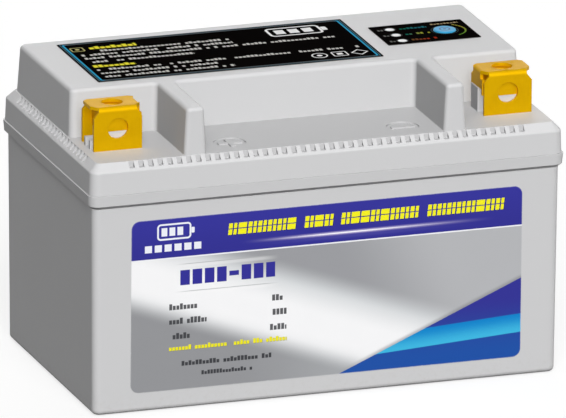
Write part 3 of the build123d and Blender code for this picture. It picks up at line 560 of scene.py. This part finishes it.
def cell_sleeve():
    """Blue sleeve with a pale band, and bare metal ends."""
    g = Graph("cell_sleeve")
    x, y, z = g.xyz()
    half = CELL_PITCH / 2
    radius = g.hypot(g.math("WRAP", x, half, -half), g.math("WRAP", y, CELL_PITCH, 0.0) - half)
    g.colour = g.mix(rgb(22, 92, 168), rgb(30, 108, 190), g.noise(9.0))
    g.paint(rgb(210, 214, 220), (abs(z - 20.0) - 1.2).ramp(0.5, 0.0) * 0.8)
    bare = g.mix(rgb(186, 184, 178), rgb(160, 158, 152), g.noise(1.2, detail=4.0, rough=0.6))
    end = g.max(z.ramp(6.6, 6.2), z.ramp(69.3, 69.7)) * radius.ramp(11.6, 11.2)
    g.paint(bare, end)
    fine = g.grain(0.3)
    g.surface(metal=end * 0.95, rough=0.34 + fine.vary(0.1))
    g.bump(fine * 0.4 + g.noise(5.0, detail=2.0) * 0.4, strength=0.2, depth=0.03, bevel=0.15)
    return g.material


def circuit_board(name, x0, x1, y0, y1, pitch):
    """Green board with traces at the pitch and scattered pads on a coarser grid."""
    g = Graph(name)
    x, y, z = g.xyz()
    pad_pitch = pitch * 2.5
    g.colour = g.mix(rgb(14, 84, 44), rgb(20, 104, 54), g.noise(6.0))
    across = g.math("FRACT", (y - y0) / pitch)
    chance = g.random(g.math("FLOOR", (y - y0) / pitch),
                      g.math("FLOOR", (x - x0) / (pitch * 5)))
    trace = abs(across - 0.5).ramp(0.34, 0.28) * (chance > 0.45)
    g.paint(rgb(32, 128, 66), trace * 0.8)
    from_pad = g.hypot(g.math("FRACT", (x - x0) / pad_pitch) - 0.5,
                       g.math("FRACT", (y - y0) / pad_pitch) - 0.5)
    chosen = g.random(g.math("FLOOR", (x - x0) / pad_pitch),
                      g.math("FLOOR", (y - y0) / pad_pitch)) > 0.7
    pad = from_pad.ramp(0.16, 0.13) * chosen
    g.paint(rgb(200, 190, 160), pad)
    rim = Art(g, x, y).rounded_distance(x0, x1, y0, y1, radius=1.0)
    g.paint(rgb(176, 164, 112), rim.ramp(-0.35, -0.2))
    g.surface(metal=pad * 0.9, rough=0.32 + g.noise(0.3, detail=2.0).vary(0.1))
    g.bump(trace * 0.6 + pad * 0.8 + g.noise(0.25, detail=2.0) * 0.2, strength=0.4, depth=0.03)
    return g.material


def from_nearest_led(g, x, y):
    art = Art(g, x, y)
    return g.min(*[art.distance(LED_X, led_y) for led_y in LED_YS])


def led_lens():
    g = Graph("led_lens")
    x, y, z = g.xyz()
    spot = from_nearest_led(g, x, y).ramp(1.25, 1.1) * z.ramp(86.2, 86.4)
    g.colour = g.mix(rgb(238, 236, 224), rgb(250, 226, 120), spot)
    g.dim(0.96 + g.noise(0.6).vary(0.08))
    g.surface(rough=0.25 + g.noise(0.3, detail=2.0).vary(0.08), spec=0.5)
    g.bump(g.noise(0.3, detail=2.0), strength=0.15, depth=0.01, bevel=0.1)
    return g.material


def light_pipe():
    g = Graph("light_pipe_acrylic")
    x, y, z = g.xyz()
    g.colour = g.mix(rgb(250, 250, 250), rgb(226, 230, 232),
                     from_nearest_led(g, x, y).ramp(0.8, 1.45))
    g.dim(0.98 + g.noise(0.8).vary(0.04))
    fine = g.grain(0.2)
    g.surface(rough=0.22 + fine.vary(0.1), spec=0.5, coat=0.3, coat_rough=0.1)
    g.bump(fine, strength=0.12, depth=0.01, bevel=0.12)
    return g.material


def wire(name, first, second):
    g = Graph(name)
    fine = g.noise(0.35, rough=0.6)
    g.colour = g.mix(first, second, g.noise(5.0))
    rub = g.noise(1.4, detail=4.0, rough=0.6).ramp(0.58, 0.72)
    g.paint(paler(second, level=0.8, share=0.25), rub * 0.3)
    g.surface(rough=0.42 + fine.vary(0.14), spec=0.4, sheen=0.1)
    g.bump(fine * 0.5 + g.noise(1.8, detail=2.0) * 0.5, strength=0.25, depth=0.03)
    return g.material


def fish_paper():
    g = Graph("insulator_fish_paper")
    fibre = g.noise(0.5, detail=4.0, rough=0.7, stretch=(0.25, 1.2, 1.0))
    g.colour = g.mix(rgb(176, 160, 112), rgb(204, 190, 142), fibre)
    g.dim(0.96 + g.noise(10.0).vary(0.1))
    g.surface(rough=0.7 + fibre.vary(0.2), spec=0.25)
    g.bump(fibre, strength=0.5, depth=0.03)
    return g.material


# ------------------------------------------------------------------ assign
def assign(material, *names):
    for name in names:
        slots = nodes[name].data.materials
        slots.clear()
        slots.append(material)


assign(case_plastic(), "container", "lid")
assign(front_label(), "front_label")
assign(top_label(), "top_label")
assign(indicator_label(), "indicator_label")
assign(test_button(), "test_button")
assign(light_pipe(), "light_pipes")
assign(metal("terminal_plated_brass", rgb(228, 178, 5), rgb(222, 171, 4), rgb(252, 214, 50),
             rough=0.48, size=0.45, brush=(1.0, 1.0, 0.12), strength=0.16, **BRASS),
       "terminal_positive", "terminal_negative")
assign(metal("nut_plated_brass", rgb(228, 178, 6), rgb(220, 170, 5), rgb(248, 210, 60),
             rough=0.45, size=0.4, **BRASS),
       "terminal_nut_positive", "terminal_nut_negative")
assign(metal("screw_steel", rgb(196, 196, 198), rgb(170, 171, 174), rgb(226, 226, 228),
             rough=0.30, size=0.35),
       "bms_screws", "lead_screws", "lead_nuts", "indicator_screws")
assign(metal("nickel_strip", rgb(200, 196, 188), rgb(182, 178, 170), rgb(226, 224, 218),
             rough=0.34, size=0.4),
       "series_strip_upper", "series_strip_lower_1", "series_strip_lower_2",
       "main_strip_positive", "main_strip_negative")
assign(metal("tinned_copper", rgb(206, 202, 196), rgb(190, 176, 160), rgb(214, 150, 110),
             rough=0.36, size=0.5), "ring_lugs")
assign(plastic("adhesive_bead", rgb(214, 210, 198), rgb(202, 196, 180),
               rough=0.4, grain=0.6, strength=0.5), "lid_seal")
assign(plastic("seal_rubber", rgb(34, 34, 35), rgb(46, 46, 47), rough=0.75, grain=0.4),
       "terminal_seal_positive", "terminal_seal_negative")
assign(cell_sleeve(), *[f"cell_{i}" for i in range(1, 9)])
assign(plastic("holder_plastic", rgb(38, 38, 40), rgb(48, 48, 50), rough=0.55, grain=0.35),
       "cell_holder_lower", "cell_holder_upper")
assign(fish_paper(), "strip_insulator")
assign(foam(), "base_pad", "foam_left", "foam_right", "foam_front", "foam_rear")
assign(circuit_board("bms_laminate", -45.0, 45.0, -6.0, 30.0, pitch=1.3), "bms_board")
assign(circuit_board("indicator_laminate", 33.7, 64.7, 3.0, 24.0, pitch=1.0), "indicator_board")
assign(plastic("chip_moulding", rgb(30, 30, 32), rgb(40, 40, 42), rough=0.5, grain=0.25),
       "bms_mosfets", "bms_balance_resistors", "bms_controller",
       "test_switch_body", "test_switch_plunger")
assign(plastic("connector_nylon", rgb(236, 232, 218), rgb(226, 220, 204), rough=0.42, grain=0.3),
       "bms_connector")
assign(wire("wire_white_pvc", rgb(220, 220, 218), rgb(206, 206, 204)),
       "balance_wires", "indicator_cable")
assign(wire("wire_black_silicone", rgb(28, 28, 29), rgb(38, 38, 40)), "negative_lead")
assign(wire("wire_red_silicone", rgb(178, 26, 26), rgb(160, 20, 22)), "positive_lead")
assign(led_lens(), "indicator_leds")

# ------------------------------------------------------------------ floor and world
FLOOR_HALF = 6.0
FLOOR_Z = -0.0003
FLOOR_SEEN = 0.50        # floor grey that the camera sees
FLOOR_GLOW = 0.56        # light added to it, for the camera only
FLOOR_BOUNCE = 0.10      # what the floor gives back to the object
GLOSS_SURROUND = 0.50    # the pale room as seen in reflections
GLOSS_REAR = 0.35        # share of it left straight behind the object
AMBIENT = 0.11
BACKDROP = 0.985


def grey(level):
    return (level, level, level, 1)


def floor_material():
    material = bpy.data.materials.new("floor_pale")
    material.use_nodes = True
    tree = material.node_tree
    tree.nodes.clear()
    rays = add_node(tree, "LightPath").outputs
    seen = add_shader(tree, "AddShader",
                      add_shader(tree, "BsdfDiffuse", grey(FLOOR_SEEN)),
                      add_shader(tree, "Emission", WHITE, FLOOR_GLOW))
    unseen = add_shader(tree, "MixShader", rays["Is Glossy Ray"],
                        add_shader(tree, "BsdfDiffuse", grey(FLOOR_BOUNCE)),
                        add_shader(tree, "Emission", WHITE, GLOSS_SURROUND))
    mixed = add_shader(tree, "MixShader", rays["Is Camera Ray"], unseen, seen)
    add_node(tree, "OutputMaterial", {0: mixed})
    return material


def build_floor():
    mesh = bpy.data.meshes.new("floor")
    corners = [(x * FLOOR_HALF, y * FLOOR_HALF, FLOOR_Z)
               for x, y in ((-1, -1), (1, -1), (1, 1), (-1, 1))]
    mesh.from_pydata(corners, [], [(0, 1, 2, 3)])
    floor = bpy.data.objects.new("floor", mesh)
    bpy.context.scene.collection.objects.link(floor)
    mesh.materials.append(floor_material())


def build_world():
    world = bpy.data.worlds.new("studio")
    bpy.context.scene.world = world
    world.use_nodes = True
    tree = world.node_tree
    tree.nodes.clear()
    rays = add_node(tree, "LightPath").outputs
    # Incoming points back to the object, so its y is most negative behind (+Y)
    incoming = add_node(tree, "NewGeometry").outputs["Incoming"]
    depth = add_node(tree, "SeparateXYZ", {0: incoming}).outputs[1]
    gloss = add_node(tree, "MapRange", {
        "Value": depth, "From Min": -0.85, "From Max": -0.1,
        "To Min": GLOSS_SURROUND * GLOSS_REAR, "To Max": GLOSS_SURROUND,
    }, interpolation_type="SMOOTHSTEP").outputs[0]
    unseen = add_shader(tree, "MixShader", rays["Is Glossy Ray"],
                        add_shader(tree, "Background", WHITE, AMBIENT),
                        add_shader(tree, "Background", WHITE, gloss))
    seen = add_shader(tree, "Background", grey(BACKDROP), 1.0)
    mixed = add_shader(tree, "MixShader", rays["Is Camera Ray"], unseen, seen)
    add_node(tree, "OutputWorld", {0: mixed})


build_floor()
build_world()


# ------------------------------------------------------------------ lights
def sun(name, source, strength, angle, shadow=True):
    """A sun shining from the source direction; angle is its width in degrees."""
    light = bpy.data.lights.new(name, "SUN")
    light.energy = strength
    light.angle = math.radians(angle)
    light.use_shadow = shadow
    lamp = bpy.data.objects.new(name, light)
    lamp.rotation_mode = "QUATERNION"
    lamp.rotation_quaternion = Vector(source).to_track_quat("Z", "Y")
    bpy.context.scene.collection.objects.link(lamp)


# a broad key from the front: part of it casts soft shadows, part only fills them
KEY = (-0.125, -0.56, 0.44)
sun("key", KEY, strength=1.65, angle=38)
sun("key_fill", KEY, strength=1.98, angle=12, shadow=False)
# low lights from the right and the rear, so the far sides are not dull
sun("side_fill", (1.0, 0.12, 0.02), strength=1.35, angle=30)
sun("rear_fill", (0.12, 1.0, 0.03), strength=1.75, angle=30)

# ------------------------------------------------------------------ camera
LENS = 1200.0
SENSOR_WIDTH = 36.0
DISTANCE = 5.679133
AZIMUTH, ELEVATION, ROLL = (math.radians(angle) for angle in (18.866, 17.172, -0.385))
TARGET = Vector((0.000325, 0.0, 0.045808))


def build_camera():
    level_right = Vector((math.cos(AZIMUTH), -math.sin(AZIMUTH), 0.0))
    level_up = Vector((math.sin(AZIMUTH) * math.sin(ELEVATION),
                       math.cos(AZIMUTH) * math.sin(ELEVATION), math.cos(ELEVATION)))
    right = level_right * math.cos(ROLL) - level_up * math.sin(ROLL)
    up = level_right * math.sin(ROLL) + level_up * math.cos(ROLL)
    back = right.cross(up)
    lens = bpy.data.cameras.new("camera")
    lens.lens = LENS
    lens.sensor_width = SENSOR_WIDTH
    lens.sensor_fit = "HORIZONTAL"
    lens.clip_start = 0.5
    lens.clip_end = 40.0
    camera = bpy.data.objects.new("camera", lens)
    bpy.context.scene.collection.objects.link(camera)
    rows = zip(right, up, back, TARGET + back * DISTANCE)
    camera.matrix_world = Matrix((*rows, (0, 0, 0, 1)))
    bpy.context.scene.camera = camera


build_camera()
view = bpy.context.scene.view_settings
view.view_transform = "Standard"
view.look = "None"
view.exposure = 0.0
view.gamma = 1.0
